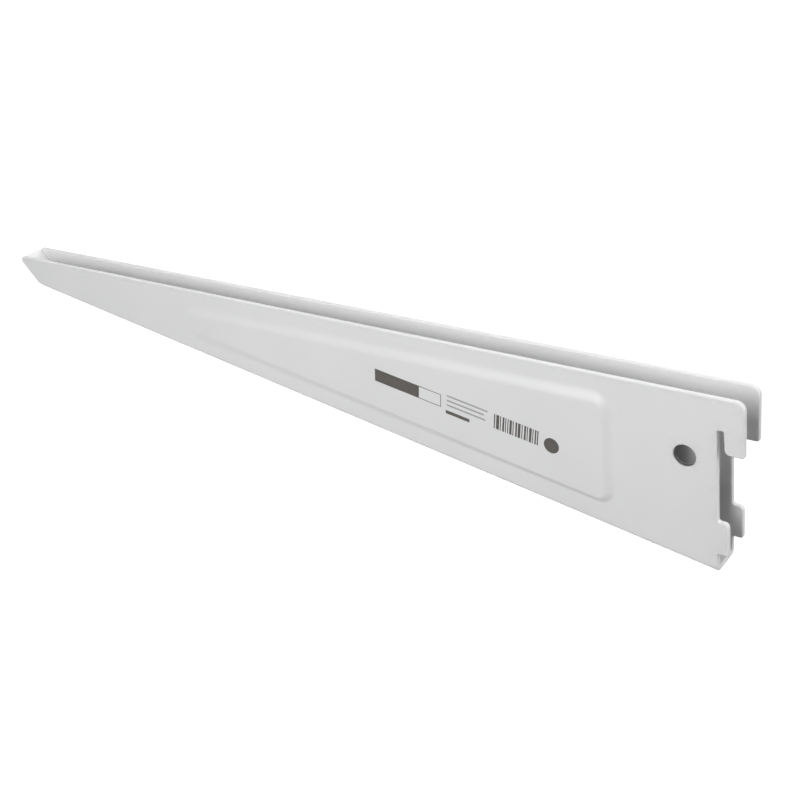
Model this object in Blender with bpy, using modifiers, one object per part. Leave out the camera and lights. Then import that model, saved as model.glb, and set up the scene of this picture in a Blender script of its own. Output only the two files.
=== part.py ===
"""Slotted shelf bracket: one folded steel sheet with a pair of hooks and a pair of lugs.

The sheet is a channel, open at the top. Its web is the sloping underside, its two walls carry
the shelf on their top edges, and a flap folded up from the web closes the nose. At the other
end each wall ends in a hook and a lug, which enter the slots of an upright.

Frame, in metres: X runs along the bracket, with +X towards the upright. Z is up. The origin is
where the plane of the upright's face, the plane of the shelf and the middle plane between the
two walls meet, which is the root of the hooks at their top edge.
"""

import math

import bmesh
import bpy

# Channel
REACH = 0.371
WIDTH = 0.0142
SHEET = 0.002
BEND_INSIDE = 0.0006
HEEL_HEIGHT = 0.0700
NOSE_HEIGHT = 0.0148
NOSE_ANGLE = math.radians(48)
NOSE_RADIUS = 0.0100
TIP_RADIUS = 0.0021
FLAP_DROP = 0.0009
FLAP_GAP = 0.0003

# Hook: a finger that points down, with a slot between it and the end of the wall
HOOK_REACH = 0.0094
HOOK_DROP = 0.0209
HOOK_TOP_RADIUS = 0.0034
HOOK_LEAD_RADIUS = 0.0019
HOOK_END_RADIUS = 0.0012
SLOT_WIDTH = 0.0021
SLOT_MOUTH = 0.0024
SLOT_ROOF_DROP = 0.0121
SLOT_RADIUS = 0.0005

# Lug: a short block below the hook
LUG_REACH = 0.0039
LUG_DROP = 0.0483
LUG_HEIGHT = 0.0135
LUG_ROOT_RADIUS = 0.0010
LUG_TOP_RADIUS = 0.0020
LUG_FOOT_RADIUS = 0.0012

# Round hole through both walls
HOLE_DIAMETER = 0.0082
HOLE_SETBACK = 0.0118
HOLE_DROP = 0.0247

# Panel pressed outwards in each wall: foot outline, slope and flat crest. It runs towards the
# nose until its end is just the two round corners and a short straight stretch between them
PANEL_SETBACK = 0.0385
PANEL_END_STRAIGHT = 0.0032
PANEL_TOP_MARGIN = 0.0071
PANEL_EDGE_MARGIN = 0.0076
PANEL_CREST_RADIUS = 0.0022
PANEL_RISE = 0.0012
PANEL_RUN = 0.0048

# Fineness of the round stretches
BEND_SEGMENTS = 6
ARC_STEP = math.radians(12)
HOLE_SIDES = 40
SLOPE_STEPS = 8

# How far a cutter runs past what it cuts, how deep a joined form is sunk into the sheet, and
# how far a form that runs along a face dips through it
OVERRUN = 0.005
EMBED = SHEET / 2
DIP = 0.00005

# Modelling limits: edges at least this sharp are folded or stay sharp, points this close are one
FOLD_LIMIT = math.radians(20)
SHARP_LIMIT = math.radians(30)
MERGE_DISTANCE = 1e-6
FACING = 0.9

BEND_OUTSIDE = BEND_INSIDE + SHEET
HALF_WIDTH = WIDTH / 2
# The nose's line and the shelf plane meet in an acute corner, which lies past the round tip
NOSE_START = REACH + TIP_RADIUS * (1 / math.tan(NOSE_ANGLE / 2) - 1)
NOSE_RUN = NOSE_HEIGHT / math.tan(NOSE_ANGLE)
TAPER = math.atan2(HEEL_HEIGHT - NOSE_HEIGHT, NOSE_START - NOSE_RUN)
PANEL_FOOT_RADIUS = PANEL_CREST_RADIUS + PANEL_RUN

COAT_COLOUR = (0.80, 0.80, 0.81, 1.0)
COAT_ROUGHNESS = 0.42


def underside_z(x, lift=0):
    """Height of the underside's straight line, or of a line parallel to it, at a place along X."""
    return -HEEL_HEIGHT - x * math.tan(TAPER) + lift / math.cos(TAPER)


def nose_x(z, inset=0):
    """Place along X of the nose's sloping outer line, or of a line parallel to it, at a height."""
    return -NOSE_START - z / math.tan(NOSE_ANGLE) + inset / math.sin(NOSE_ANGLE)


def nose_corner(inset, lift):
    """Where a line parallel to the nose meets a line parallel to the underside."""
    x = nose_x(underside_z(0, lift), inset) / (1 - math.tan(TAPER) / math.tan(NOSE_ANGLE))
    return x, underside_z(x, lift)


def rounded_outline(corners):
    """Points of a closed outline whose corners, given as (x, z, radius), become arcs."""
    points = []
    count = len(corners)
    for i, (x, z, radius) in enumerate(corners):
        if radius <= 0:
            points.append((x, z))
            continue
        before = corners[i - 1]
        after = corners[(i + 1) % count]
        angle_in = math.atan2(z - before[1], x - before[0])
        angle_out = math.atan2(after[1] - z, after[0] - x)
        turn = (angle_out - angle_in + math.pi) % (2 * math.pi) - math.pi
        tangent = radius * math.tan(abs(turn) / 2)
        side = math.copysign(1, turn)
        centre_x = x - tangent * math.cos(angle_in) - side * radius * math.sin(angle_in)
        centre_z = z - tangent * math.sin(angle_in) + side * radius * math.cos(angle_in)
        steps = max(2, math.ceil(abs(turn) / ARC_STEP))
        for step in range(steps + 1):
            angle = angle_in - side * math.pi / 2 + turn * step / steps
            points.append((centre_x + radius * math.cos(angle), centre_z + radius * math.sin(angle)))
    return points


def flat_prism(name, points, thickness, middle_y, collection):
    """A closed outline in the XZ plane, given a thickness along Y, as a mesh object."""
    curve = bpy.data.curves.new(name, "CURVE")
    curve.dimensions = "2D"
    curve.fill_mode = "BOTH"
    curve.extrude = thickness / 2
    spline = curve.splines.new("POLY")
    spline.points.add(len(points) - 1)
    for point, (x, z) in zip(spline.points, points):
        point.co = (x, z, 0, 1)
    spline.use_cyclic_u = True
    drawn = bpy.data.objects.new(name + "_outline", curve)
    drawn.location = (0, middle_y, 0)
    drawn.rotation_euler = (math.pi / 2, 0, 0)
    collection.objects.link(drawn)
    bpy.context.view_layer.update()
    evaluated = drawn.evaluated_get(bpy.context.evaluated_depsgraph_get())
    mesh = bpy.data.meshes.new_from_object(evaluated)
    mesh.transform(drawn.matrix_world)
    bpy.data.objects.remove(drawn)
    bm = bmesh.new()
    bm.from_mesh(mesh)
    bmesh.ops.remove_doubles(bm, verts=bm.verts, dist=MERGE_DISTANCE)
    bmesh.ops.recalc_face_normals(bm, faces=bm.faces)
    bm.to_mesh(mesh)
    bm.free()
    prism = bpy.data.objects.new(name, mesh)
    collection.objects.link(prism)
    return prism


def mark_cutter(cutter):
    """Show a cutter as wire and keep it out of renders."""
    cutter.display_type = "WIRE"
    cutter.hide_render = True
    return cutter


def channel_skin(collection):
    """The outer skin of the channel before it is trimmed: a tapered box, open on top and at its ends."""
    bm = bmesh.new()
    bmesh.ops.create_cube(bm, size=2)
    heel_x = HOOK_REACH + OVERRUN
    for vert in bm.verts:
        vert.co.x = heel_x if vert.co.x > 0 else -REACH - OVERRUN
        vert.co.y *= HALF_WIDTH
        vert.co.z = OVERRUN if vert.co.z > 0 else underside_z(vert.co.x)
    bm.normal_update()
    open_sides = [f for f in bm.faces if f.normal.z > FACING or abs(f.normal.x) > FACING]
    bmesh.ops.delete(bm, geom=open_sides, context="FACES")
    mesh = bpy.data.meshes.new("bracket")
    bm.to_mesh(mesh)
    bm.free()
    skin = bpy.data.objects.new("bracket", mesh)
    collection.objects.link(skin)

    folds = skin.modifiers.new("folds", "BEVEL")
    folds.width = BEND_OUTSIDE
    folds.segments = BEND_SEGMENTS
    folds.limit_method = "ANGLE"
    folds.angle_limit = FOLD_LIMIT

    sheet = skin.modifiers.new("sheet", "SOLIDIFY")
    sheet.thickness = SHEET
    sheet.offset = -1
    sheet.use_even_offset = True
    return skin


def nose_flap(cutters):
    """The flap that the underside turns up into, between the walls and not joined to them.

    Its inner face is drawn, with the inside of the fold and an end square to its sheet. It
    stands out past the nose, and the nose trim gives it the same outer line as the walls.
    """
    corner_x, corner_z = nose_corner(SHEET, SHEET - DIP)
    foot_x = corner_x + NOSE_RADIUS
    end_x = nose_x(-FLAP_DROP, SHEET)
    depth = SHEET + OVERRUN
    outline = rounded_outline([
        (end_x, -FLAP_DROP, 0),
        (corner_x, corner_z, NOSE_RADIUS - SHEET),
        (foot_x, underside_z(foot_x, SHEET - DIP), 0),
        (foot_x, underside_z(foot_x, EMBED), 0),
        (*nose_corner(-OVERRUN, EMBED), 0),
        (end_x - depth * math.sin(NOSE_ANGLE), -FLAP_DROP - depth * math.cos(NOSE_ANGLE), 0),
    ])
    between_walls = WIDTH - 2 * (SHEET + FLAP_GAP)
    return mark_cutter(flat_prism("nose_flap", outline, between_walls, 0, cutters))


def nose_trim(cutters):
    """Cuts walls, underside and flap to the nose's sloping line, with its round tip and corner."""
    past_x = -REACH - 4 * OVERRUN
    tip_rear_x = -NOSE_START + 4 * TIP_RADIUS
    rear_x = nose_corner(0, 0)[0] + 2 * NOSE_RADIUS
    floor_z = underside_z(rear_x) - OVERRUN
    outline = rounded_outline([
        (tip_rear_x, 2 * OVERRUN, 0),
        (tip_rear_x, DIP, 0),
        (nose_x(DIP), DIP, TIP_RADIUS),
        (*nose_corner(0, -DIP), NOSE_RADIUS),
        (rear_x, underside_z(rear_x, -DIP), 0),
        (rear_x, floor_z, 0),
        (past_x, floor_z, 0),
        (past_x, 2 * OVERRUN, 0),
    ])
    return mark_cutter(flat_prism("nose_trim", outline, WIDTH + 2 * OVERRUN, 0, cutters))


def top_trim(cutters):
    """Cuts the walls level with the shelf."""
    heel_x = HOOK_REACH + 2 * OVERRUN
    past_x = -REACH - 4 * OVERRUN
    outline = [(heel_x, 0), (heel_x, 2 * OVERRUN), (past_x, 2 * OVERRUN), (past_x, 0)]
    return mark_cutter(flat_prism("top_trim", outline, WIDTH + 4 * OVERRUN, 0, cutters))


def end_trim(cutters):
    """Cuts the end of the channel back to the upright's face, leaving each wall's hook and lug."""
    past_x = HOOK_REACH + 2 * OVERRUN
    floor_z = underside_z(past_x) - OVERRUN
    lug_foot = LUG_DROP + LUG_HEIGHT
    corners = [
        (0, -SLOT_ROOF_DROP, SLOT_RADIUS),
        (SLOT_WIDTH, -SLOT_ROOF_DROP, SLOT_RADIUS),
        (SLOT_MOUTH, -HOOK_DROP, HOOK_LEAD_RADIUS),
        (HOOK_REACH, -HOOK_DROP, HOOK_END_RADIUS),
        (HOOK_REACH, 0, HOOK_TOP_RADIUS),
        (0, 0, 0),
        (0, OVERRUN, 0),
        (past_x, OVERRUN, 0),
        (past_x, floor_z, 0),
        (0, floor_z, 0),
        (0, -lug_foot, 0),
        (LUG_REACH, -lug_foot, LUG_FOOT_RADIUS),
        (LUG_REACH, -LUG_DROP, LUG_TOP_RADIUS),
        (0, -LUG_DROP, LUG_ROOT_RADIUS),
    ]
    outline = rounded_outline(corners)
    return mark_cutter(flat_prism("end_trim", outline, WIDTH + 2 * OVERRUN, 0, cutters))


def hole_cutter(cutters):
    """The round hole through both walls."""
    bm = bmesh.new()
    bmesh.ops.create_cone(
        bm,
        cap_ends=True,
        segments=HOLE_SIDES,
        radius1=HOLE_DIAMETER / 2,
        radius2=HOLE_DIAMETER / 2,
        depth=WIDTH + 2 * OVERRUN,
    )
    mesh = bpy.data.meshes.new("hole")
    bm.to_mesh(mesh)
    bm.free()
    cutter = bpy.data.objects.new("hole", mesh)
    cutter.location = (-HOLE_SETBACK, 0, -HOLE_DROP)
    cutter.rotation_euler = (math.pi / 2, 0, 0)
    cutters.objects.link(cutter)
    return mark_cutter(cutter)


def panel_nose_end():
    """Place along X of the panel's foot nearest the nose, where the taper leaves its end height."""
    corners = PANEL_FOOT_RADIUS * (1 + math.tan(math.pi / 4 - TAPER / 2))
    end_height = corners + PANEL_END_STRAIGHT
    return (underside_z(0, PANEL_EDGE_MARGIN) + PANEL_TOP_MARGIN + end_height) / math.tan(TAPER)


def panel_outline(inset):
    """The panel's foot outline, moved inwards: level on top, along the taper below, upright ends."""
    heel_end_x = -PANEL_SETBACK - inset
    nose_end_x = panel_nose_end() + inset
    top_z = -PANEL_TOP_MARGIN - inset
    lift = PANEL_EDGE_MARGIN + inset
    radius = PANEL_FOOT_RADIUS - inset
    return rounded_outline([
        (heel_end_x, top_z, radius),
        (nose_end_x, top_z, radius),
        (nose_end_x, underside_z(nose_end_x, lift), radius),
        (heel_end_x, underside_z(heel_end_x, lift), radius),
    ])


def panel_form(name, shift, wall_y, cutters):
    """The pressed panel over one face of the wall, lofted from its foot to its crest, and its pair.

    The slope is a half wave: it leaves the wall's face and meets the flat crest tangentially.
    """
    layers = [(shift, wall_y - EMBED)]
    for step in range(SLOPE_STEPS + 1):
        along = step / SLOPE_STEPS
        climb = (PANEL_RISE + DIP) * (1 - math.cos(math.pi * along)) / 2
        layers.append((shift + PANEL_RUN * along, wall_y - DIP + climb))

    bm = bmesh.new()
    rings = []
    for inset, y in layers:
        rings.append([bm.verts.new((x, -y, z)) for x, z in panel_outline(inset)])
    count = len(rings[0])
    for lower, upper in zip(rings, rings[1:]):
        for i in range(count):
            j = (i + 1) % count
            bm.faces.new((lower[i], lower[j], upper[j], upper[i]))
    bm.faces.new(reversed(rings[0]))
    bm.faces.new(rings[-1])
    mesh = bpy.data.meshes.new(name)
    bm.to_mesh(mesh)
    bm.free()
    form = bpy.data.objects.new(name, mesh)
    cutters.objects.link(form)
    pair = form.modifiers.new("pair", "MIRROR")
    pair.use_axis = (False, True, False)
    pair.use_mirror_merge = False
    return mark_cutter(form)


def combine(target, operand, operation):
    """Join or cut the target with another object, left live as a modifier."""
    step = target.modifiers.new(operand.name, "BOOLEAN")
    step.operation = operation
    step.solver = "EXACT"
    step.object = operand


def coat_material():
    """White powder coat over steel."""
    material = bpy.data.materials.new("white_powder_coat")
    material.use_nodes = True
    shader = material.node_tree.nodes["Principled BSDF"]
    shader.inputs["Base Color"].default_value = COAT_COLOUR
    shader.inputs["Roughness"].default_value = COAT_ROUGHNESS
    shader.inputs["Metallic"].default_value = 0
    return material


def build():
    """Model the bracket as one solid."""
    for old in list(bpy.data.objects):
        bpy.data.objects.remove(old)
    parts = bpy.data.collections.new("slotted_shelf_bracket")
    cutters = bpy.data.collections.new("cutters")
    bpy.context.scene.collection.children.link(parts)
    bpy.context.scene.collection.children.link(cutters)

    bracket = channel_skin(parts)
    slope = math.atan(PANEL_RISE / PANEL_RUN)
    combine(bracket, nose_flap(cutters), "UNION")
    combine(bracket, nose_trim(cutters), "DIFFERENCE")
    combine(bracket, top_trim(cutters), "DIFFERENCE")
    combine(bracket, panel_form("panel_press", 0, HALF_WIDTH, cutters), "UNION")
    hollow = panel_form("panel_hollow", SHEET * math.tan(slope / 2), HALF_WIDTH - SHEET, cutters)
    combine(bracket, hollow, "DIFFERENCE")
    combine(bracket, end_trim(cutters), "DIFFERENCE")
    combine(bracket, hole_cutter(cutters), "DIFFERENCE")
    bracket.data.materials.append(coat_material())
    bracket.data.shade_smooth()
    bracket.data.set_sharp_from_angle(angle=SHARP_LIMIT)


build()
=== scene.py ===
"""Slotted shelf bracket: the folded steel sheet, its powder coat, its printed marks and its studio.

Frame, in metres: X runs along the bracket, with +X towards the upright. Z is up. The origin is
where the plane of the upright's face, the plane of the shelf and the middle plane between the two
walls meet. The surfaces below are worked out in millimetres and scaled as they become meshes.
"""

import logging
import math
from dataclasses import dataclass, field
from enum import Enum

import bmesh
import bpy
import numpy as np
from bpy.types import ID, Material, Node, NodeSocket, NodeTree, Object
from mathutils import Matrix, Vector
from mathutils.geometry import delaunay_2d_cdt


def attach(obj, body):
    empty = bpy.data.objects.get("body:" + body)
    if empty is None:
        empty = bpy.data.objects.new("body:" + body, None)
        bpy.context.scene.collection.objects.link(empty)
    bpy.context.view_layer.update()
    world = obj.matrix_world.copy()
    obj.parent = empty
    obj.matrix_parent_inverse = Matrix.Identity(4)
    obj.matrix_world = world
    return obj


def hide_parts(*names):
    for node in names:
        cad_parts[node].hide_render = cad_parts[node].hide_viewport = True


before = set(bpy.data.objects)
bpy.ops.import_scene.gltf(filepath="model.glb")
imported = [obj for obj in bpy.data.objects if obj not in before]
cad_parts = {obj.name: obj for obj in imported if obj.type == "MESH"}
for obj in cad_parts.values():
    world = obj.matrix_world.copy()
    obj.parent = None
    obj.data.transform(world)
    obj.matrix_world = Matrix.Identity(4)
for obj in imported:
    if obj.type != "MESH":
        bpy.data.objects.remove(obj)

logging.basicConfig(level=logging.INFO, format="%(name)s: %(message)s")
log = logging.getLogger("bracket_scene")

Array = np.ndarray
Triple = tuple[float, float, float]
Box = tuple[float, float, float, float]
MILLIMETRE = 0.001
MERGE = 1e-6  # metres within which points are one
TINY = 1e-6  # turns and lengths that count as none
ROUNDING = 1e-9  # keeps a whole number whole as it is rounded down
JOIN_PRECISION = 1e-7
QUARTER = math.pi / 2
ARC_STEP = math.radians(9)
LEAST_ARC_PARTS = 3
ROW_HEIGHT = 0.866  # of an even triangle whose sides are 1
ACROSS = np.array([0.0, 1.0, 0.0])
UP = np.array([0.0, 0.0, 1.0])
SIDE_VIEW = np.array([[1.0, 0.0, 0.0], [0.0, 0.0, 1.0]])
WHITE = (1.0, 1.0, 1.0)


class Face(Enum):
    """The two faces of the sheet in a wall; the value is their depth in sheets from outside."""

    OUTER = 0
    INNER = 1


def unit(vectors: Array) -> Array:
    """Scale vectors, given along the last axis, to length one."""
    return vectors / np.linalg.norm(vectors, axis=-1, keepdims=True)


def lerp(start: Array | float, end: Array | float, share: Array) -> Array:
    """Blend straight from start to end: start plus share times their difference."""
    return start + (end - start) * share


def smooth_step(value: Array) -> Array:
    """Three squares less two cubes of the value, which is first kept between 0 and 1."""
    share = np.clip(value, 0, 1)
    return share * share * (3 - 2 * share)


def circle(count: int) -> Array:
    """Points spread evenly round a circle of radius one: cosine and sine of each angle."""
    angle = np.linspace(0, 2 * math.pi, count, endpoint=False)
    return np.stack([np.cos(angle), np.sin(angle)], axis=1)


def quad_faces(rows: int, columns: int, closed: bool = False) -> Array:
    """Corner numbers of the quads of a grid whose points are stored row after row.

    Args:
        rows: number of rows of points.
        columns: number of points in a row.
        closed: whether the last point of a row joins its first.

    Returns:
        One line of four corner numbers for each quad.
    """
    i = np.arange(rows - 1)[:, None]
    j = np.arange(columns if closed else columns - 1)[None, :]
    k = (j + 1) % columns
    corners = (i * columns + j, i * columns + k, (i + 1) * columns + k, (i + 1) * columns + j)
    return np.stack([c.ravel() for c in corners], axis=1)


def rounded_path(corners: Array, spacing: float, closed: bool) -> tuple[Array, Array]:
    """Points and outward normals of a flat path with rounded corners.

    Each corner becomes an arc that touches both of its straight sides, at centre plus radius times
    (cosine, sine) of an even sweep. The straight stretches between arcs are divided evenly.

    Args:
        corners: lines of x, z and radius, going round with the material on the left.
        spacing: longest piece of a straight stretch.
        closed: whether the last corner leads back to the first.

    Returns:
        The points and the unit normals away from the material, each with one line a point.
    """
    xz, radii = corners[:, :2], corners[:, 2]
    before = unit(xz - np.roll(xz, 1, axis=0))
    after = unit(np.roll(xz, -1, axis=0) - xz)
    heading = np.arctan2(before[:, 1], before[:, 0])
    turn = np.arctan2(
        before[:, 0] * after[:, 1] - before[:, 1] * after[:, 0], (before * after).sum(axis=1)
    )
    if not closed:
        turn[0] = turn[-1] = 0.0
        heading[0] = math.atan2(after[0, 1], after[0, 0])
    tangent = radii * np.tan(np.abs(turn) / 2)
    arcs = []
    for i, (corner, radius) in enumerate(zip(xz, radii)):
        size = abs(turn[i])
        parts = max(LEAST_ARC_PARTS, math.ceil(size / ARC_STEP)) if size > TINY else 0
        angle = heading[i] + turn[i] * np.linspace(0, 1, parts + 1)
        out = np.stack([np.sin(angle), -np.cos(angle)], axis=1)
        first = corner - tangent[i] * np.array([math.cos(heading[i]), math.sin(heading[i])])
        arcs.append((first + math.copysign(radius, turn[i]) * (out - out[0]), out))
    points, normals = [], []
    for i, (arc, out) in enumerate(arcs):
        points.append(arc)
        normals.append(out)
        if closed or i < len(arcs) - 1:
            end = arcs[(i + 1) % len(arcs)][0][0]
            parts = max(1, math.ceil(np.linalg.norm(end - arc[-1]) / spacing))
            share = np.linspace(0, 1, parts + 1)[1:-1, None]
            points.append(lerp(arc[-1], end, share))
            normals.append(np.repeat(out[-1:], len(share), axis=0))
    return np.concatenate(points), np.concatenate(normals)


def inside(points: Array, loops: list[Array]) -> Array:
    """Which points lie in the first loop and in no other one.

    The sides of a loop that a ray to the right meets are counted: an odd number means inside.

    Args:
        points: lines of two coordinates.
        loops: the corners of each closed loop in order.

    Returns:
        One True or False for each point.
    """
    x, z = points[:, 0:1], points[:, 1:2]
    within = []
    for a in loops:
        b = np.roll(a, -1, axis=0)
        spans = (a[:, 1] > z) != (b[:, 1] > z)
        rise = np.where(b[:, 1] == a[:, 1], 1.0, b[:, 1] - a[:, 1])
        crossing = a[:, 0] + (z - a[:, 1]) * (b[:, 0] - a[:, 0]) / rise
        within.append((spans & (crossing > x)).sum(axis=1) % 2 == 1)
    return within[0] & ~np.any(within[1:], axis=0)


def fill_flat(loops: list[Array], spacing: float) -> tuple[Array, Array]:
    """Triangles of a flat region with openings, over an even field of inner points.

    The field is a staggered grid, thinned to the points inside the first loop, outside the others
    and half a spacing clear of every loop. A constrained Delaunay triangulation joins it to them.
    All is in that triangulation's single precision, so that its thinnest triangles are told apart.

    Args:
        loops: the outer loop first, then the openings, each as lines of two coordinates.
        spacing: distance between neighbouring points of the field.

    Returns:
        The points, and one line of three corner numbers for each triangle.
    """
    loops = [loop.astype(np.float32).astype(float) for loop in loops]
    low, high = loops[0].min(axis=0), loops[0].max(axis=0)
    x, z = np.meshgrid(
        np.arange(low[0], high[0], spacing), np.arange(low[1], high[1], spacing * ROW_HEIGHT)
    )
    x[1::2] += spacing / 2
    inner = np.stack([x.ravel(), z.ravel()], axis=1)
    inner = inner[inside(inner, loops)]
    rim = np.concatenate(loops)
    gap = np.linalg.norm(inner[:, None] - rim, axis=2).min(axis=1)
    points = np.concatenate([rim, inner[gap > spacing / 2]])
    numbers = np.split(np.arange(len(rim)), np.cumsum([len(loop) for loop in loops])[:-1])
    sides = [np.stack([number, np.roll(number, -1)], axis=1) for number in numbers]
    found = delaunay_2d_cdt(
        [Vector(p) for p in points.tolist()], np.concatenate(sides).tolist(), [], 0,
        JOIN_PRECISION, False,
    )
    flat, triangles = np.array([tuple(v) for v in found[0]]), np.array(found[2])
    return flat, triangles[inside(flat[triangles].mean(axis=1), loops)]


def linked(name: str, data: ID) -> Object:
    """Make an object of a mesh, lamp or camera and put it in the scene."""
    made = bpy.data.objects.new(name, data)
    bpy.context.scene.collection.objects.link(made)
    return made


@dataclass
class Patchwork:
    """Patches of one surface, kept until they are welded into a closed mesh.

    Each point is marked 1 on a cut edge of the sheet and 0 on its faces, and with its share of painted
    shade, from 0 on open faces to 1 in the round hole's bore.
    """

    patches: list[tuple[Array, Array, Array, Array]] = field(default_factory=list)
    count: int = 0
    sharp_from: float = math.radians(35)

    def add(
        self, points: Array, faces: Array, edge: float = 0.0, mirrored: bool = False,
        painted_shade: Array | float = 0.0,
    ) -> None:
        """Keep a patch, and its mirror image across the middle plane where asked.

        Args:
            points: lines of x, y and z in millimetres.
            faces: corner numbers, three or four a line.
            edge: the patch's mark as a cut edge.
            mirrored: whether the patch is also made on the other side.
            painted_shade: its marks for painted shade, one in all or one a point.
        """
        for flip in ([1.0, -1.0] if mirrored else [1.0]):
            self.patches.append((
                points * np.array([1.0, flip, 1.0]), faces + self.count,
                np.full(len(points), edge), np.broadcast_to(painted_shade, len(points)),
            ))
            self.count += len(points)

    def add_grid(
        self, grid: Array, closed: bool = False, painted_shade: Array | float = 0.0, **rest: float | bool
    ) -> None:
        """Keep a grid patch, given as rows by columns by three, with its marks in that order."""
        faces = quad_faces(*grid.shape[:2], closed)
        self.add(grid.reshape(-1, 3), faces, painted_shade=np.ravel(painted_shade), **rest)

    def add_fan(self, ring: Array, edge: float = 0.0) -> None:
        """Keep a flat patch that joins a closed ring of points to its middle."""
        count = len(ring)
        number = np.arange(count)
        faces = np.stack([number, (number + 1) % count, np.full(count, count)], axis=1)
        self.add(np.concatenate([ring, ring.mean(axis=0, keepdims=True)]), faces, edge)

    def weld(self, name: str) -> Object:
        """Join the patches into one closed mesh object with its faces pointing outwards.

        Args:
            name: the object's name.

        Returns:
            The object, at the origin, in metres.
        """
        mesh = bpy.data.meshes.new(name)
        points, faces, *marks = zip(*self.patches)
        faces = [line for part in faces for line in part.tolist()]
        mesh.from_pydata((np.concatenate(points) * MILLIMETRE).tolist(), [], faces)
        for title, values in zip(("cut_edge", "painted_shade_mark"), marks):
            mark = mesh.attributes.new(title, "FLOAT", "POINT")
            mark.data.foreach_set("value", np.concatenate(values).astype(np.float32))
        bm = bmesh.new()
        bm.from_mesh(mesh)
        bmesh.ops.remove_doubles(bm, verts=bm.verts, dist=MERGE)
        bmesh.ops.dissolve_degenerate(bm, dist=MERGE, edges=bm.edges)
        bmesh.ops.recalc_face_normals(bm, faces=bm.faces)
        loose = sum(1 for e in bm.edges if len(e.link_faces) != 2)
        bm.to_mesh(mesh)
        bm.free()
        if loose:
            log.warning("%s has %d edges that don't join two faces", name, loose)
        mesh.shade_smooth()
        mesh.set_sharp_from_angle(angle=self.sharp_from)
        return linked(name, mesh)


@dataclass(frozen=True)
class Rim:
    """The rounded edge of the sheet: a small round, the cut face, and a small round again."""

    round_radius: float = 0.55
    flat_margin: float = 0.2
    round_parts: int = 6
    cut_parts: int = 5

    def strip(self, cut: Array, ways: Array, fade: Array) -> Array:
        """Carry the rim's profile along the edge of the sheet.

        A point of a round is the corner, less radius times (1 - sine) along the way out of the
        sheet, plus radius times (1 - cosine) along the cut face. A margin row lies in each face.
        The cut's own points are spread evenly between the two rounds.

        Args:
            cut: stations by cut points by three, from the outer face to the inner one.
            ways: unit directions out of the sheet, in the outer and in the inner face.
            fade: share of the full radius at each station.

        Returns:
            Stations by profile points by three.
        """
        angle = np.linspace(0, QUARTER, self.round_parts + 1)[None, :, None]
        parts = cut.shape[1] - 1
        first = (self.round_radius * fade / np.linalg.norm(cut[:, -1] - cut[:, 0], axis=1))[:, None]
        place = parts * lerp(first, 1 - first, np.linspace(0, 1, parts + 1)[1:-1])[..., None]
        below = np.clip(np.floor(place + ROUNDING).astype(int), 0, parts - 1)
        ends = [np.take_along_axis(cut, number, 1) for number in (below, below + 1)]
        radius, margin = (s * fade[:, None, None] for s in (self.round_radius, self.flat_margin))
        sides = []
        for way, inwards in zip(ways, (cut, cut[:, ::-1])):
            corner, out = inwards[:, :1], way[:, None]
            arc = corner - radius * (1 - np.sin(angle)) * out
            arc = arc + radius * (1 - np.cos(angle)) * unit(inwards[:, 1:2] - corner)
            sides.append(np.concatenate([corner - (radius + margin) * out, arc], axis=1))
        return np.concatenate([sides[0], lerp(*ends, place - below), sides[1][:, ::-1]], axis=1)


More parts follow.
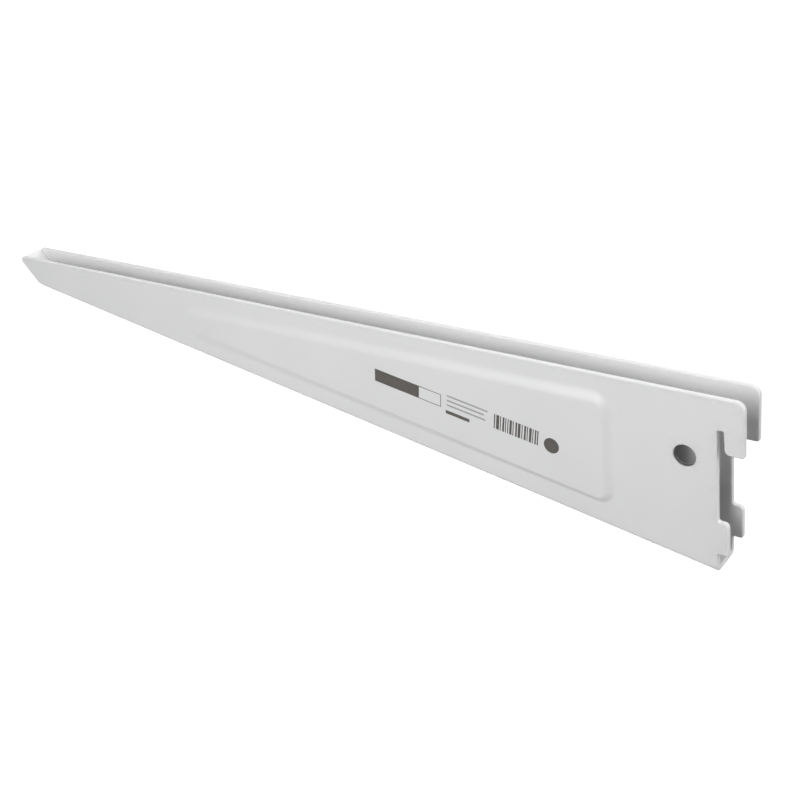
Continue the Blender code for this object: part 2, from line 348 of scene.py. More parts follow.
@dataclass(frozen=True)
class Channel:
    """Sizes of the folded channel, its nose and its heel, in millimetres, and its lines."""

    reach: float = 371.0
    width: float = 14.2
    sheet: float = 2.0
    bend_inside: float = 0.6
    heel_height: float = 70.0
    nose_height: float = 14.8
    nose_angle: float = math.radians(48)
    nose_radius: float = 10.0
    tip_radius: float = 2.1
    flap_drop: float = 0.45
    flap_half_width: float = 5.08

    @property
    def bend_outside(self) -> float:
        """Outside radius of the folds between walls and web."""
        return self.bend_inside + self.sheet

    @property
    def half_width(self) -> float:
        """From the middle plane to a wall's outer face."""
        return self.width / 2

    @property
    def web_half_width(self) -> float:
        """From the middle plane to where the web starts to fold up."""
        return self.half_width - self.bend_outside

    @property
    def nose_start(self) -> float:
        """Distance to the acute corner where nose line and shelf plane would meet."""
        return self.reach + self.tip_radius * (1 / math.tan(self.nose_angle / 2) - 1)

    @property
    def taper(self) -> float:
        """Slope of the underside, in radians."""
        run = self.nose_start - self.nose_height / math.tan(self.nose_angle)
        return math.atan2(self.heel_height - self.nose_height, run)

    @property
    def nose_turn(self) -> float:
        """Angle between the underside and the nose line."""
        return self.nose_angle - self.taper

    @property
    def along(self) -> Array:
        """Direction of the underside, towards the heel."""
        return np.array([math.cos(self.taper), 0.0, -math.sin(self.taper)])

    @property
    def lift(self) -> Array:
        """Direction square to the underside, upwards."""
        return np.array([math.sin(self.taper), 0.0, math.cos(self.taper)])

    @property
    def nose_corner(self) -> Array:
        """Where nose line and underside would meet, as x and z."""
        slope, nose = math.tan(self.taper), math.tan(self.nose_angle)
        x = (-self.nose_start + self.heel_height / nose) / (1 - slope / nose)
        return np.array([x, -self.heel_height - x * slope])

    @property
    def nose_tangent(self) -> Array:
        """Where the underside meets the round corner under the nose, in three coordinates."""
        back = self.nose_radius * math.tan(self.nose_turn / 2)
        return self.nose_corner @ SIDE_VIEW + back * self.along

    def underside_z(self, x: float, raised: Array | float = 0.0) -> Array | float:
        """Height of the underside, or of a line parallel to it, at a place along X."""
        return -self.heel_height - x * math.tan(self.taper) + raised / math.cos(self.taper)

    def near_nose(self, ahead: Array, y: Array | float, raised: Array) -> Array:
        """Points by distance ahead of the nose tangent, place across and lift off the underside."""
        ahead, y, raised = (part[..., None] for part in np.broadcast_arrays(ahead, y, raised))
        return self.nose_tangent - ahead * self.along + y * ACROSS + raised * self.lift

    def nose_curve(self, way: Array, depth: Array | float = 0.0) -> tuple[Array, Array]:
        """The nose's outer line in the side view: an arc, then a straight line tangent to it.

        On the arc the angle is the way divided by the radius. The point is radius times (sine,
        1 - cosine) of that angle. Past the arc it goes straight on. Depth moves it inwards.

        Args:
            way: length along the line from the end of the underside.
            depth: distance into the material, square to the line.

        Returns:
            Distance ahead of the nose tangent, and lift off the underside.
        """
        angle = np.clip(way / self.nose_radius, 0, self.nose_turn)
        rest = np.maximum(way - self.nose_radius * self.nose_turn, 0)
        sine, cosine = np.sin(angle), np.cos(angle)
        ahead = self.nose_radius * sine + rest * cosine - depth * sine
        return ahead, self.nose_radius * (1 - cosine) + rest * sine + depth * cosine

    def nose_way(self, raised: Array | float) -> Array:
        """Length along the nose's outer line at which it has a given lift: its curve solved back."""
        arc_lift = self.nose_radius * (1 - math.cos(self.nose_turn))
        on_arc = self.nose_radius * np.arccos(1 - np.clip(raised, 0, arc_lift) / self.nose_radius)
        return on_arc + np.maximum(raised - arc_lift, 0) / math.sin(self.nose_turn)


@dataclass(frozen=True)
class HeelFittings:
    """Sizes of the hook, the slot, the lug and the round hole, in millimetres."""

    hook_reach: float = 9.4
    hook_drop: float = 20.9
    hook_top_radius: float = 3.4
    hook_lead_radius: float = 1.9
    hook_end_radius: float = 1.2
    slot_width: float = 2.1
    slot_mouth: float = 2.4
    slot_roof_drop: float = 12.1
    slot_radius: float = 0.5
    lug_reach: float = 3.9
    lug_drop: float = 48.3
    lug_height: float = 13.5
    lug_root_radius: float = 1.0
    lug_top_radius: float = 2.0
    lug_foot_radius: float = 1.2
    lug_heel_radius: float = 0.5
    hole_diameter: float = 8.2
    hole_setback: float = 11.8
    hole_drop: float = 24.7

    def corners(self) -> list[Triple]:
        """The end of a wall from below the lug up to the top of the hook, as x, z and radius."""
        lug_foot = -self.lug_drop - self.lug_height
        return [
            (0.0, lug_foot, self.lug_heel_radius),
            (self.lug_reach, lug_foot, self.lug_foot_radius),
            (self.lug_reach, -self.lug_drop, self.lug_top_radius),
            (0.0, -self.lug_drop, self.lug_root_radius),
            (0.0, -self.slot_roof_drop, self.slot_radius),
            (self.slot_width, -self.slot_roof_drop, self.slot_radius),
            (self.slot_mouth, -self.hook_drop, self.hook_lead_radius),
            (self.hook_reach, -self.hook_drop, self.hook_end_radius),
            (self.hook_reach, 0.0, self.hook_top_radius),
        ]

    def hole_circle(self, around: Array, margin: float = 0.0) -> Array:
        """The round hole's edge, or a circle outside it by a margin, as x and z."""
        middle = np.array([-self.hole_setback, -self.hole_drop])
        return middle + around * (self.hole_diameter / 2 + margin)


@dataclass(frozen=True)
class Panel:
    """Sizes of the panel pressed outwards in each wall, in millimetres."""

    setback: float = 38.5
    end_straight: float = 3.1
    top_margin: float = 7.1
    edge_margin: float = 8.45
    crest_radius: float = 2.0
    rise: float = 1.42
    rise_lean: float = 0.0047
    run: float = 5.3
    low_run: float = 3.2
    low_widening: float = 0.010
    top_lean: float = 0.009
    low_lean: float = 0.0114
    low_true: float = -132.0
    top_true: float = -160.0
    holding: float = 0.3
    slope_parts: int = 16
    side_parts: tuple[int, int, int, int] = (2, 10, 90, 90)

    def outline(self, channel: Channel, inset: float) -> Array:
        """The panel's foot line moved inwards by inset: level on top, along the taper below.

        Its two long lines lean a little towards the wall's edges as they near the heel. Its lower
        slope is the narrower one, and widens evenly towards the nose. The number of points is the
        same whatever the inset, with the four straight sides divided evenly.

        Args:
            channel: the channel's sizes.
            inset: how far inwards, in millimetres.

        Returns:
            Lines of x and z, going round.
        """
        share = inset / self.run
        foot = self.crest_radius + self.run
        slope = math.tan(channel.taper) - self.low_lean
        foot_low = channel.underside_z(0.0, self.edge_margin) - self.low_lean * self.low_true
        end_height = foot * (1 + math.tan((QUARTER - channel.taper) / 2)) + self.end_straight
        nose_x = (foot_low + self.top_margin + end_height) / slope + inset
        heel_x = -self.setback - inset
        widening = self.low_widening * share
        low = foot_low + self.low_run * share / math.cos(channel.taper) - widening * self.setback
        radius = foot - inset
        top = [
            (x, self.top_lean * max(x - self.top_true, 0.0) - self.top_margin - inset, radius)
            for x in (heel_x, nose_x)
        ]
        bottom = [(x, low - x * (slope + widening), radius) for x in (nose_x, heel_x)]
        points, _ = rounded_path(np.array(top + bottom), math.inf, closed=True)
        following = np.roll(points, -1, axis=0)
        parts = np.ones(len(points), dtype=int)
        longest = np.argsort(np.linalg.norm(following - points, axis=1))[-len(self.side_parts):]
        parts[longest] = self.side_parts
        sides = zip(points, following, parts)
        return np.concatenate([lerp(a, b, np.arange(n)[:, None] / n) for a, b, n in sides])

    def rise_at(self, x: Array) -> Array:
        """Height of the crest at a place along X: it grows evenly towards the heel."""
        return self.rise + self.rise_lean * (x + self.setback)

    def pressed(self, flat: Array, wall_y: float, share: float) -> Array:
        """Lay flat points on a wall, pressed out by half a wave that is level at foot and crest.

        Args:
            flat: lines of x and z.
            wall_y: where the wall's face is.
            share: how much of the slope's run is done; 0 or less is the foot, 1 or more the crest.

        Returns:
            Lines of x, y and z.
        """
        wave = (1 - math.cos(math.pi * min(max(share, 0.0), 1.0))) / 2
        return flat @ SIDE_VIEW + (wall_y - self.rise_at(flat[:, :1]) * wave) * ACROSS


@dataclass(frozen=True)
class Pattern:
    """A noise read on Object coordinates: waves to the metre, detail and roughness."""

    scale: float
    detail: float
    roughness: float = 0.5


@dataclass(frozen=True)
class Wiring:
    """A node tree in the making."""

    tree: NodeTree

    def feed(self, node: Node, values: dict[str | int, object]) -> None:
        """Give a node's inputs their values; an output socket is linked, a colour made opaque."""
        for key, value in values.items():
            if isinstance(value, NodeSocket):
                self.tree.links.new(value, node.inputs[key])
            else:
                node.inputs[key].default_value = (*value, 1) if isinstance(value, tuple) else value

    def add(
        self, kind: str, output: str | int, values: dict[str | int, object] | None = None,
        **settings: object,
    ) -> NodeSocket:
        """Add a node.

        Args:
            kind: its type, after the word ShaderNode.
            output: name or number of the output that is wanted.
            values: what its inputs get.
            settings: the node's own settings.

        Returns:
            That output.
        """
        node = self.tree.nodes.new("ShaderNode" + kind)
        for name, value in settings.items():
            setattr(node, name, value)
        self.feed(node, values or {})
        return node.outputs[output]

    def noise(self, pattern: Pattern) -> NodeSocket:
        """The value of a pattern, from about 0 to 1."""
        return self.add("TexNoise", "Fac", {
            "Vector": self.add("TexCoord", "Object"), "Scale": pattern.scale,
            "Detail": pattern.detail, "Roughness": pattern.roughness,
        })

    def toned(self, pattern: Pattern, *stops: tuple[float, Triple]) -> NodeSocket:
        """A colour that wanders with a pattern between two stops, each a place and a colour."""
        ramp = self.add("ValToRGB", "Color", {"Fac": self.noise(pattern)})
        for element, (position, colour) in zip(ramp.node.color_ramp.elements, stops):
            element.position, element.color = position, (*colour, 1)
        return ramp

    def mixed(self, factor: NodeSocket, a: NodeSocket, b: Triple | float) -> NodeSocket:
        """A blend from a to b, which is a colour or a number."""
        kind = "RGBA" if isinstance(b, tuple) else "FLOAT"
        return self.add("Mix", "Result", {"Factor": factor, "A": a, "B": b}, data_type=kind)

    def seen_rays(self) -> NodeSocket:
        """1 for what the camera, gloss or glass sees, and 0 for plain light."""
        seen = self.add("LightPath", "Is Camera Ray")
        rays = seen.node.outputs
        for name in ("Is Glossy Ray", "Is Transmission Ray"):
            seen = self.add("Math", 0, {0: seen, 1: rays[name]}, operation="MAXIMUM")
        return seen


def new_material(name: str) -> tuple[Material, Wiring, Node]:
    """Make a node material, and give it with its wiring and its shader."""
    made = bpy.data.materials.new(name)
    made.use_nodes = True
    return made, Wiring(made.node_tree), made.node_tree.nodes["Principled BSDF"]


@dataclass(frozen=True)
class PowderCoat:
    """White powder coat on steel: satin, with a fine pebbled skin.

    It is duller on cut edges, and a little darker there as painted shade that tones down the light
    the rims catch. Deep in the channel and in the round hole's bore it carries painted shade, nearly
    black.
    """

    name: str = "white_powder_coat"
    colour: Triple = (0.70, 0.70, 0.705)
    shade: Triple = (0.672, 0.674, 0.680)
    # cut edges: a touch darker than the coat, painted shade that tones down the light the rims catch
    edge: Triple = (0.66, 0.66, 0.66)
    # painted shade: the nearly black colour put deep in the channel and in the round hole's bore
    painted_shade: Triple = (0.035, 0.035, 0.036)
    shade_until: float = 0.30
    colour_from: float = 0.70
    dull: float = 0.46
    glossy: float = 0.35
    edge_roughness: float = 0.60
    clouds: Pattern = Pattern(22.0, 3.0)
    grain: Pattern = Pattern(300.0, 2.0)
    pebbles: Pattern = Pattern(900.0, 2.0, 0.4)
    pebble_strength: float = 0.25
    pebble_height: float = 0.00004

    def material(self) -> Material:
        """Build the node material, whose patterns all read Object coordinates."""
        made, wiring, shader = new_material(self.name)
        edge = wiring.add("Attribute", "Fac", attribute_name="cut_edge")
        painted_shade_mask = wiring.add("Attribute", "Fac", attribute_name="painted_shade_mark")
        tone = wiring.toned(self.clouds, (self.shade_until, self.shade), (self.colour_from, self.colour))
        # painted shade: a touch darker on cut edges, nearly black deep in the channel and in the hole's
        # bore
        tone = wiring.mixed(painted_shade_mask, wiring.mixed(edge, tone, self.edge), self.painted_shade)
        gloss = wiring.add("MapRange", "Result", {
            "Value": wiring.noise(self.grain), "To Min": self.glossy, "To Max": self.dull,
        })
        skin = wiring.add("Bump", "Normal", {
            "Height": wiring.noise(self.pebbles), "Strength": self.pebble_strength,
            "Distance": self.pebble_height,
        })
        wiring.feed(shader, {
            "Base Color": tone, "Roughness": wiring.mixed(edge, gloss, self.edge_roughness),
            "Normal": skin,
        })
        return made


@dataclass(frozen=True)
class Ink:
    """Ink printed on the coat: one colour, with the slight unevenness of a pad print."""

    name: str
    colour: Triple
    uneven: float = 0.25
    colour_until: float = 0.35
    uneven_from: float = 0.75
    roughness: float = 0.5
    specks: Pattern = Pattern(1500.0, 3.0)

    def material(self) -> Material:
        """Build the node material, whose pattern reads Object coordinates."""
        made, wiring, shader = new_material(self.name)
        lighter = tuple(c * (1 + self.uneven) for c in self.colour)
        tone = wiring.toned(self.specks, (self.colour_until, self.colour), (self.uneven_from, lighter))
        wiring.feed(shader, {"Base Color": tone, "Roughness": self.roughness})
        return made


@dataclass
class FoldedSheet:
    """The bracket itself: one sheet, folded into a channel with a flap that closes the nose."""

    channel: Channel = Channel()
    heel: HeelFittings = HeelFittings()
    panel: Panel = Panel()
    rim: Rim = Rim()
    coat: PowderCoat = PowderCoat()
    fold_parts: int = 10
    web_parts: int = 8
    long_parts: int = 120
    hole_parts: int = 72
    edge_spacing: float = 2.5
    field_spacing: float = 3.0
    slit_fade: float = 1.5
    flap_arc_parts: int = 3
    flap_parts: int = 25
    flap_round: float = 0.12
    flap_end_round: float = 0.45
    flap_tip_share: float = 0.9
    # painted shade in the hole's bore and deep in the channel: its fade over the bore's rounds, where it
    # starts, its run and its greatest share
    bore_fade: float = 3.0
    painted_shade_start: float = 11.0
    painted_shade_run: float = 15.0
    painted_shade_most: float = 0.72

    def free_edge(self) -> tuple[Array, Array]:
        """The wall's free edge from the heel's fold, over the hook and the tip, to the nose's fold.

        Returns:
            Points and outward directions, each as lines of x, y = 0 and z.
        """
        c = self.channel
        ahead, raised = c.nose_curve(c.nose_way(c.bend_outside))
        end = c.near_nose(ahead, 0.0, raised)
        corners = np.array([
            (0.0, c.underside_z(0.0, c.bend_outside), 0.0),
            *self.heel.corners(),
            (-c.nose_start, 0.0, c.tip_radius),
            (end[0], end[2], 0.0),
        ])
        points, normals = rounded_path(corners, self.edge_spacing, closed=False)
        return points @ SIDE_VIEW, normals @ SIDE_VIEW

    def through_wall(self, points: Array) -> Array:
        """Cut points through the wall, from its outer face to its inner one, at each point given."""
        share = np.linspace(0, 1, self.rim.cut_parts + 1)[None, :, None]
        return points[:, None] + (self.channel.sheet * share - self.channel.half_width) * ACROSS

    def rim_stations(self) -> tuple[Array, Array, Array]:
        """Everything the rim of one half needs, from the web's middle at the heel round to the nose.

        At the heel the cut is the plane x = 0, and the fold's points are arcs about its axis. At the
        nose the cut follows the nose's outer line, from the outside radius of the fold to its
        inside radius, so its face is flush with the flap.

        Returns:
            Cut points, ways out in the two faces, and the share of the rim's radius.
        """
        c = self.channel
        share = np.linspace(0, 1, self.rim.cut_parts + 1)
        radii = np.array([c.bend_outside, c.bend_inside])
        turn = np.linspace(0, QUARTER, self.fold_parts + 1)[:, None]
        edge, edge_out = self.free_edge()

        y_web = np.linspace(0, -c.web_half_width, self.web_parts // 2 + 1)[:-1, None, None]
        web_cut = y_web * ACROSS + c.underside_z(0.0, c.sheet * share)[:, None] * UP
        web_out = np.repeat(c.along[None], len(y_web), axis=0)

        down = turn[:0:-1]
        y = -c.web_half_width - radii * np.cos(down)
        z = c.underside_z(0.0, c.bend_outside - radii * np.sin(down))
        fold = y[..., None] * ACROSS + z[..., None] * UP
        heel_cut = lerp(fold[:, :1], fold[:, 1:], share[:, None])
        arc_way = -np.sin(down) * ACROSS + np.cos(down) * c.lift
        heel_out = unit(c.along + math.tan(c.taper) * np.cos(down) * arc_way)

        turned = turn[1:]
        way = c.nose_way(c.bend_outside - radii * np.sin(turned))
        y = -c.web_half_width - radii * np.cos(turned)
        ahead, raised = c.nose_curve(lerp(way[:, :1], way[:, 1:], share))
        nose_cut = c.near_nose(ahead, lerp(y[:, :1], y[:, 1:], share), raised)
        done = turned / QUARTER
        face = -np.cos(turned) * ACROSS - np.sin(turned) * c.lift
        ways = []
        for alpha in np.clip(way / c.nose_radius, 0, c.nose_turn).T[..., None]:
            square = -np.sin(alpha) * c.along - np.cos(alpha) * c.lift
            lean = square - (square * face).sum(axis=1, keepdims=True) * face
            straight = -c.along * np.linalg.norm(lean, axis=1, keepdims=True)
            nose_out = unit(lerp(lean, straight, done ** 2) - c.along * TINY)
            ways.append(np.concatenate([web_out, heel_out, edge_out, nose_out]))

        cut = np.concatenate([web_cut, heel_cut, self.through_wall(edge), nose_cut])
        fade = np.ones(len(cut))
        fade[-self.fold_parts:] = (np.cos(turned) * (1 - done ** 4))[:, 0]
        fade[-1] = 0.0
        return cut, np.stack(ways), fade

    def fold_rows(self, heel_ring: Array, nose_ring: Array, face: Face) -> Array:
        """The fold between web and wall: straight rows along it, one for each step of the bend.

        Args:
            heel_ring: where the rows start at the heel, from the wall down to the web.
            nose_ring: where they end at the nose, in the same order.
            face: the outer fold goes straight; the inner one has a column at the nose tangent.

        Returns:
            Rows by columns by three.
        """
        heel, nose, c = heel_ring[:, None], nose_ring[:, None], self.channel
        share = np.linspace(0, 1, self.long_parts + 1)[:, None]
        if face is Face.OUTER:
            return lerp(heel, nose, share)
        to_tangent = ((heel - c.nose_tangent) @ c.along) / ((heel - nose) @ c.along)
        middle = lerp(heel, nose, to_tangent[..., None])
        rest = np.linspace(0, 1, self.rim.cut_parts + 1)[1:, None]
        return np.concatenate([lerp(heel, middle, share), lerp(middle, nose, rest)], axis=1)

    def wall_face(self, work: Patchwork, ring: Array, fold_row: Array, face: Face) -> None:
        """One face of the wall: flat, with the round hole's rim and the pressed panel in it.

        The panel's slope climbs by half a wave over its run, and on the inner face the same form
        is moved in by the sheet's thickness times the tangent of half the slope.

        Args:
            work: the patches so far.
            ring: the rim's margin row along the free edge.
            fold_row: the fold's first row, from the heel to the nose.
            face: which face of the sheet.
        """
        c, p = self.channel, self.panel
        depth = face.value * c.sheet
        wall_y = depth - c.half_width
        shift = depth * math.tan(math.atan(p.rise / p.run) / 2)
        loop = np.concatenate([ring, fold_row[-2:0:-1]])[:, [0, 2]]
        margin = self.rim.round_radius + self.rim.flat_margin
        hole = self.heel.hole_circle(circle(self.hole_parts), margin)
        insets = [-p.holding, *np.linspace(0, p.run, p.slope_parts + 1), p.run + p.holding]
        lines = [p.outline(c, shift + inset) for inset in insets]
        rings = np.stack([p.pressed(line, wall_y, i / p.run) for line, i in zip(lines, insets)])
        work.add_grid(rings, mirrored=True, closed=True, painted_shade=self.painted_shade_share(face, rings))
        for loops, share in (([loop, hole, lines[0]], 0.0), ([lines[-1]], 1.0)):
            flat, triangles = fill_flat(loops, self.field_spacing)
            points = p.pressed(flat, wall_y, share)
            work.add(points, triangles, mirrored=True, painted_shade=self.painted_shade_share(face, points))

    def painted_shade_share(self, face: Face, points: Array) -> Array:
        """How much painted shade darkens the channel's inner faces, growing deeper in.

        It grows by a smooth step with the distance from the nearest open side, which is the
        lesser of the depth below the shelf and the distance from the heel.

        Args:
            face: which face of the sheet; the outer one takes no painted shade.
            points: places in millimetres.

        Returns:
            The shares of painted shade, up to painted_shade_most.
        """
        away = np.minimum(-points[..., 2], -points[..., 0])
        return face.value * self.painted_shade_most * smooth_step((away - self.painted_shade_start) / self.painted_shade_run)

    def hole_rim(self, work: Patchwork) -> None:
        """The round hole's edge: the rim's profile carried round a circle, with painted shade in its
        bore.
        """
        around = circle(self.hole_parts)
        cut = self.through_wall(self.heel.hole_circle(around) @ SIDE_VIEW)
        strip = self.rim.strip(cut, [-around @ SIDE_VIEW] * 2, np.ones(len(cut)))
        ends = np.linspace(0, 1, self.rim.round_parts + 2) ** self.bore_fade
        bore = np.concatenate([ends, np.ones(self.rim.cut_parts - 1), ends[::-1]])
        painted_shade = np.repeat(bore, len(cut))
        work.add_grid(strip.transpose(1, 0, 2), edge=1.0, mirrored=True, closed=True, painted_shade=painted_shade)

    def web_and_flap(self, work: Patchwork, rows: dict[Face, Array]) -> None:
        """The web, its turn-up at the nose and the flap between the walls.

        The web's faces are straight strips. From the nose tangent its outer face follows the nose's
        line and its inner face the same line one sheet deeper. Past the point where the folds
        end, a closed profile with rounded corners is carried on to the flap's end.

        Args:
            work: the patches so far.
            rows: each fold's last row, from the heel to the nose.
        """
        c = self.channel
        y = np.linspace(-c.web_half_width, c.web_half_width, self.web_parts + 1)
        split = float(c.nose_way(c.sheet))
        turn_ways = np.linspace(0, split, self.rim.cut_parts + 1)[:, None]
        for face, row in rows.items():
            strip = np.repeat(row[:self.long_parts + 1, None], len(y), axis=1)
            strip[:, :, 1] = y
            work.add_grid(strip, painted_shade=self.painted_shade_share(face, strip))
            ahead, raised = c.nose_curve(turn_ways, face.value * c.sheet)
            turned = c.near_nose(ahead, y, raised)
            work.add_grid(turned)
            if face is Face.INNER:
                work.add_grid(np.stack([row[self.long_parts:], turned[:, 0]]), mirrored=True)
        self.flap(work, split, y)

    def flap(self, work: Patchwork, split: float, y: Array) -> None:
        """The free part of the flap: a rounded rectangle carried up the nose's line, with a soft end.

        Args:
            work: the patches so far.
            split: length along the nose's line at which the flap leaves the folds.
            y: places across of the web's columns, which the flap's faces start from.
        """
        c, sides = self.channel, self.rim.round_parts + 1
        arc = c.nose_radius * c.nose_turn
        rise = math.sin(c.nose_angle)
        end_z = -c.flap_drop - c.sheet * math.cos(c.nose_angle)
        tangent_z = c.nose_corner[1] + c.nose_radius * math.tan(c.nose_turn / 2) * rise
        end = arc + (end_z - tangent_z) / rise
        ways = np.concatenate([
            np.linspace(split, arc, self.flap_arc_parts + 1)[:-1],
            np.linspace(arc, end - self.flap_end_round, self.flap_parts + 1),
        ])
        angle = np.linspace(0, QUARTER, sides)
        sine, cosine = np.sin(angle), np.cos(angle)
        shrink = np.concatenate([0 * ways, self.flap_end_round * (1 - cosine[1:])])[:, None]
        ways = np.concatenate([ways, end - self.flap_end_round * (1 - sine[1:])])[:, None]
        grown = smooth_step((ways - split) / self.slit_fade)
        radius = self.flap_round * grown
        core = lerp(c.web_half_width, c.flap_half_width, grown) - shrink - radius
        past = np.maximum(ways - (end - c.tip_radius * self.flap_tip_share), 0)
        front = c.tip_radius - np.sqrt(np.maximum(c.tip_radius ** 2 - past ** 2, 0)) + shrink
        back = c.sheet - shrink
        face = y / c.web_half_width
        across, depth = [], []
        for side, start, finish in ((1, front, back), (-1, back, front)):
            middle, bend = side * core, side * radius
            across += [middle * face, middle + bend * sine, middle + bend * cosine]
            depth += [start + 0 * face, start + bend * (1 - cosine), finish - bend * (1 - sine)]
        ahead, raised = c.nose_curve(ways, np.concatenate(depth, axis=1))
        grid = c.near_nose(ahead, np.concatenate(across, axis=1), raised)
        work.add_grid(grid, closed=True)
        top, count = grid[-1], len(y)
        turned = count + 2 * sides
        work.add_grid(np.stack([top[:count], top[turned:turned + count][::-1]]), edge=1.0)
        work.add_fan(top[count - 1:turned + 1], edge=1.0)
        work.add_fan(np.concatenate([top[turned + count - 1:], top[:1]]), edge=1.0)

    def build(self) -> Object:
        """Build, dress and mount the sheet.

        Returns:
            The finished piece.
        """
        work = Patchwork()
        strip = self.rim.strip(*self.rim_stations())
        work.add_grid(strip, edge=1.0, mirrored=True)
        web = self.web_parts // 2
        wall_start = web + self.fold_parts
        wall_end = len(strip) - self.fold_parts
        last_rows = {}
        for face, column in ((Face.OUTER, 0), (Face.INNER, -1)):
            heel_ring = strip[web:wall_start + 1, column][::-1]
            rows = self.fold_rows(heel_ring, strip[wall_end - 1:, column], face)
            last_rows[face] = rows[-1]
            work.add_grid(rows, mirrored=True, painted_shade=self.painted_shade_share(face, rows))
            self.wall_face(work, strip[wall_start:wall_end, column], rows[0], face)
        self.hole_rim(work)
        self.web_and_flap(work, last_rows)
        piece = work.weld("folded_sheet")
        piece.data.materials.append(self.coat.material())
        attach(piece, "root")
        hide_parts("bracket")
        return piece


@dataclass(frozen=True)
class PrintedMarks:
    """Plain marks printed on the panel: a bar, a blank box, fine lines, stripes and a dot.

    Places are along the underside from the heel's corner, negative towards the nose, and lifts off
    the underside, both in millimetres. A box is its left, right, low and high side.
    """

    channel: Channel = Channel()
    panel: Panel = Panel()
    proud: float = 0.03
    dark: Ink = Ink("dark_ink", (0.060, 0.054, 0.048))
    grey: Ink = Ink("grey_ink", (0.30, 0.30, 0.30))
    bar: Box = (-150.4, -128.7, 24.4, 30.1)
    blank_box: Box = (-128.9, -118.0, 24.4, 30.1)
    blank_line: float = 0.28
    bold_line: Box = (-115.7, -104.6, 22.5, 24.0)
    fine_start: float = -115.3
    fine_height: float = 0.75
    fine_ends: tuple[tuple[float, float], ...] = ((-96.6, 30.3), (-98.2, 28.2), (-97.4, 26.1))
    stripes_start: float = -93.6
    stripes_low: float = 24.6
    stripes_high: float = 31.0
    stripe_widths: tuple[float, ...] = (
        0.5, 1.3, 0.4, 0.8, 0.4, 0.4, 1.0, 0.4, 0.7, 1.1, 0.4, 0.8, 0.4, 1.0, 0.4, 0.6, 0.5,
    )
    stripe_gaps: tuple[float, ...] = (
        0.5, 0.4, 0.7, 0.4, 0.6, 0.5, 0.4, 0.8, 0.4, 0.5, 0.7, 0.4, 0.6, 0.4, 0.6, 0.4,
    )
    dot_middle: tuple[float, float] = (-68.5, 26.9)
    dot_radius: float = 3.2
    dot_parts: int = 48

    def place(self, flat: Array, height: float) -> Array:
        """Points on the panel's crest, or a height over it, from lines of place along and lift."""
        c = self.channel
        points = flat @ np.stack([c.along, c.lift]) - c.heel_height * UP
        return points - (c.half_width + self.panel.rise_at(points[:, :1]) + height) * ACROSS

    def dress(self, work: Patchwork, name: str, ink: Ink) -> Object:
        """Weld a mark, ink it and mount it on the bracket."""
        piece = work.weld(name)
        piece.data.materials.append(ink.material())
        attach(piece, "root")
        return piece

    def border(self, name: str, outer: Array, ink: Ink) -> Object:
        """The line round a box: a small square profile carried round it with mitred corners.

        Args:
            name: the piece's name.
            outer: the box's outer corners in order, as place along and lift.
            ink: the finish.

        Returns:
            The finished piece.
        """
        work = Patchwork()
        inner = outer - np.sign(outer - outer.mean(axis=0)) * self.blank_line
        corners = ((outer, -1), (outer, 1), (inner, 1), (inner, -1), (outer, -1))
        rings = [self.place(ring, side * self.proud) for ring, side in corners]
        work.add_grid(np.stack(rings), closed=True)
        return self.dress(work, name, ink)

    def slab(self, name: str, outlines: list[Array], ink: Ink) -> Object:
        """Thin closed slabs from closed outlines: a face, a back and a wall between them.

        Args:
            name: the piece's name.
            outlines: each as lines of place along and lift.
            ink: the finish.

        Returns:
            The finished piece.
        """
        work = Patchwork()
        for outline in outlines:
            rings = np.stack([self.place(outline, height) for height in (-self.proud, self.proud)])
            work.add_grid(rings, closed=True)
            for ring in rings:
                work.add_fan(ring)
        return self.dress(work, name, ink)

    @staticmethod
    def rectangle(box: Box) -> Array:
        """A box's four corners in order."""
        left, right, low, high = box
        return np.array([(left, low), (right, low), (right, high), (left, high)])

    def build(self) -> list[Object]:
        """Print every mark.

        Returns:
            The pieces.
        """
        fine = [
            self.rectangle((self.fine_start, end, lift, lift + self.fine_height))
            for end, lift in self.fine_ends
        ]
        steps = np.add(self.stripe_widths[:-1], self.stripe_gaps)
        starts = self.stripes_start + np.concatenate([[0], np.cumsum(steps)])
        stripes = [
            self.rectangle((start, start + width, self.stripes_low, self.stripes_high))
            for start, width in zip(starts, self.stripe_widths)
        ]
        dot = np.array(self.dot_middle) + self.dot_radius * circle(self.dot_parts)
        return [
            self.slab("print_bar", [self.rectangle(self.bar)], self.dark),
            self.border("print_box", self.rectangle(self.blank_box), self.dark),
            self.slab("print_fine_lines", fine, self.grey),
            self.slab("print_bold_line", [self.rectangle(self.bold_line)], self.dark),
            self.slab("print_stripes", stripes, self.dark),
            self.slab("print_dot", [dot], self.dark),
        ]


@dataclass(frozen=True)
class FloorPaint:
    """Pale matt floor that reads as plain white to the camera where nothing shades it."""

    name: str = "floor_paint"
    colour: Triple = (0.22, 0.22, 0.22)
    roughness: float = 0.9
    glow_near: float = 0.90
    glow_far: float = 1.0
    near: float = 0.6
    far: float = 2.6

    def material(self) -> Material:
        """Build the node material: matt paint, plus a glow that only camera and gloss see."""
        made, wiring, shader = new_material(self.name)
        place = wiring.add("TexCoord", "Object")
        glow = wiring.add("MapRange", "Result", {
            "Value": wiring.add("VectorMath", "Value", {0: place}, operation="LENGTH"),
            "From Min": self.near, "From Max": self.far,
            "To Min": self.glow_near, "To Max": self.glow_far,
        }, interpolation_type="SMOOTHSTEP")
        seen = wiring.add("Math", 0, {0: wiring.seen_rays(), 1: glow}, operation="MULTIPLY")
        wiring.feed(shader, {
            "Base Color": self.colour, "Roughness": self.roughness,
            "Emission Color": WHITE, "Emission Strength": seen,
        })
        return made


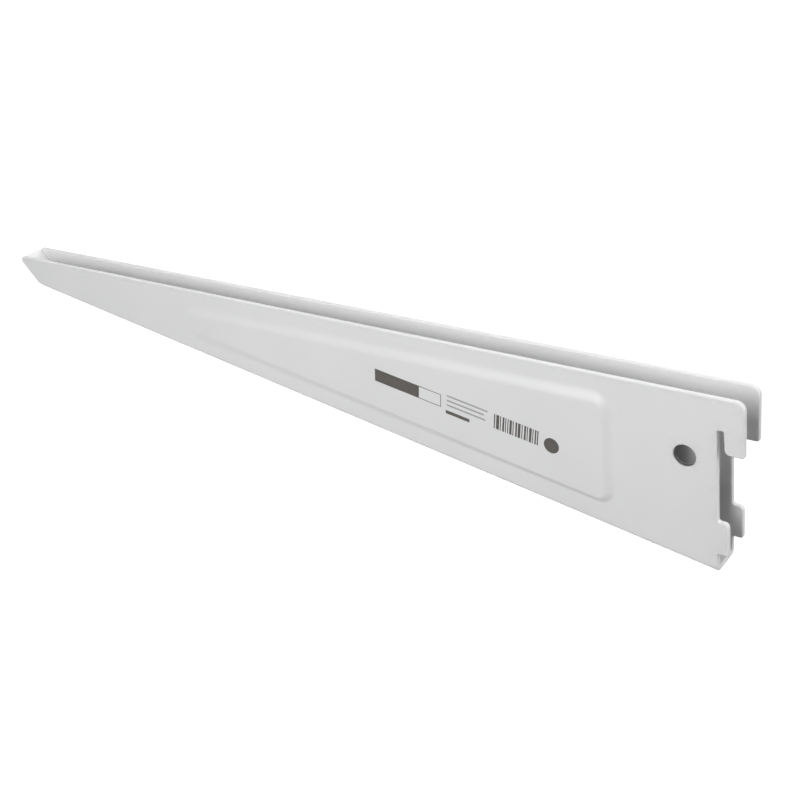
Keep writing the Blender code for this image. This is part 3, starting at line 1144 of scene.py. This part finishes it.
@dataclass(frozen=True)
class Lamp:
    """A rectangular soft lamp round the point it lights, with angles in degrees."""

    name: str
    target: Triple
    azimuth: float
    elevation: float
    distance: float
    size: tuple[float, float]
    watts: float

    def build(self) -> Object:
        """Put the lamp in its place and turn it to its target."""
        turn, climb = math.radians(self.azimuth), math.radians(self.elevation)
        level = math.cos(climb)
        away = Vector((level * math.cos(turn), level * math.sin(turn), math.sin(climb)))
        data = bpy.data.lights.new(self.name, "AREA")
        data.shape = "RECTANGLE"
        data.size, data.size_y = self.size
        data.energy = self.watts
        made = linked(self.name, data)
        made.location = Vector(self.target) + away * self.distance
        made.rotation_euler = (-away).to_track_quat("-Z", "Y").to_euler()
        return made


MIDDLE = (-0.17, 0.0, -0.03)
HEEL = (-0.11, 0.0, -0.03)


@dataclass(frozen=True)
class Studio:
    """Floor, world, lamps and the camera fitted to the photograph."""

    floor_z: float = -0.45
    floor_size: float = 30.0
    floor_points: int = 5
    world_light: float = 0.02
    paint: FloorPaint = FloorPaint()
    lamps: tuple[Lamp, ...] = (
        Lamp("front_light", MIDDLE, -97, 33, 1.6, (1.0, 1.3), 4.1),
        Lamp("near_light", HEEL, -90, 30, 0.75, (0.42, 0.70), 5.35),
        Lamp("back_light", MIDDLE, 95, 24, 1.6, (1.2, 1.2), 23.0),
        Lamp("right_light", MIDDLE, 12, 15, 1.6, (0.7, 0.7), 11.5),
        Lamp("high_right_light", MIDDLE, 5, 35, 1.6, (0.9, 0.9), 5.3),
        Lamp("top_light", MIDDLE, 0, 89, 1.6, (0.9, 0.9), 3.5),
    )
    focal_pixels: float = 1187.942
    frame_pixels: float = 800.0
    sensor_width: float = 36.0
    clip_start: float = 0.01
    camera_place: Triple = (0.1418326, -0.3230547, 0.1923563)
    camera_right: Triple = (0.7903822, 0.5985387, -0.1305659)
    camera_up: Triple = (-0.1936089, 0.4462567, 0.8737108)
    camera_back: Triple = (0.5812156, -0.6652868, 0.4685957)

    def floor(self) -> Object:
        """A plain pale floor below the bracket, which hangs in its mount above it."""
        half, count = self.floor_size / 2, self.floor_points
        x, y = np.meshgrid(*[np.linspace(-half, half, count)] * 2)
        points = np.stack([x.ravel(), y.ravel(), np.full(x.size, self.floor_z)], axis=1)
        mesh = bpy.data.meshes.new("floor")
        mesh.from_pydata(points.tolist(), [], quad_faces(count, count).tolist())
        made = linked("floor", mesh)
        made.data.materials.append(self.paint.material())
        return made

    def world(self) -> None:
        """White to the camera and to gloss, and a plain soft light to everything else."""
        world = bpy.data.worlds.new("studio")
        bpy.context.scene.world = world
        world.use_nodes = True
        wiring, light = Wiring(world.node_tree), world.node_tree.nodes["Background"]
        wiring.feed(light, {"Color": WHITE, "Strength": self.world_light})
        white = wiring.add("Background", 0, {"Color": WHITE, "Strength": 1.0})
        mix = wiring.add("MixShader", 0, {0: wiring.seen_rays(), 1: light.outputs[0], 2: white})
        wiring.feed(world.node_tree.nodes["World Output"], {"Surface": mix})

    def camera(self) -> Object:
        """The camera: its focal length is in pixels over the picture's width."""
        data = bpy.data.cameras.new("camera")
        data.sensor_width = self.sensor_width
        data.lens = self.focal_pixels / self.frame_pixels * self.sensor_width
        data.clip_start = self.clip_start
        made = linked("camera", data)
        turn = Matrix((self.camera_right, self.camera_up, self.camera_back)).transposed().to_4x4()
        made.matrix_world = Matrix.Translation(self.camera_place) @ turn
        bpy.context.scene.camera = made
        return made

    def build(self) -> None:
        """Set up everything that isn't the bracket."""
        bpy.context.scene.view_settings.view_transform = "Standard"
        self.floor()
        self.world()
        for lamp in self.lamps:
            lamp.build()
        self.camera()


def main() -> None:
    """Build the bracket and its studio, and report the pieces."""
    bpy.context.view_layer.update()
    sheet = FoldedSheet().build()
    log.info("%s: %d faces", sheet.name, len(sheet.data.polygons))
    for piece in PrintedMarks().build():
        log.info("%s: %d faces", piece.name, len(piece.data.polygons))
    Studio().build()


if __name__ == "__main__":
    main()
